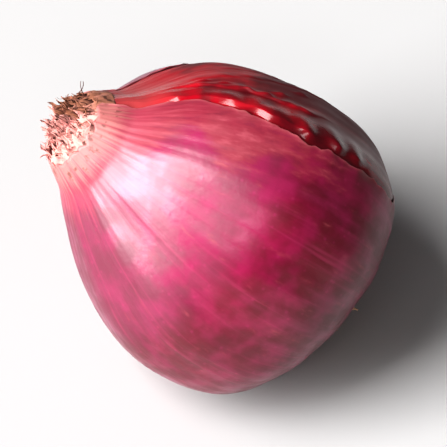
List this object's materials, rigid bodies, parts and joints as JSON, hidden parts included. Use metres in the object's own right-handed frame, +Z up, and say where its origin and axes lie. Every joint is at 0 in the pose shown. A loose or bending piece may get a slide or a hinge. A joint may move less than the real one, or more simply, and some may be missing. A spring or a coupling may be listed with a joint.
{
  "type": "pearl onion",
  "caption": "Small red onion bulb with a short dry neck and a dried root tuft, resting on its base edge with the neck raised; a whole vegetable for cooking.",
  "frame": {"origin": "middle of the small flat spot that the bulb rests on", "axes": "+Z up, square to the flat spot; -X towards the side that the raised neck points to, +X towards the root end; Y across the bulb's axis"},
  "size_m": [0.0334, 0.031, 0.0308],
  "materials": {
    "skin": "satin papery onion skin, magenta red",
    "dry_neck": "matte dry leaf ends, cream to tan",
    "root": "matte dried roots, tan"
  },
  "bodies": {
    "root": {"bulb": "skin", "dry_neck": "dry_neck", "root_tuft": "root"}
  },
  "joints": []
}
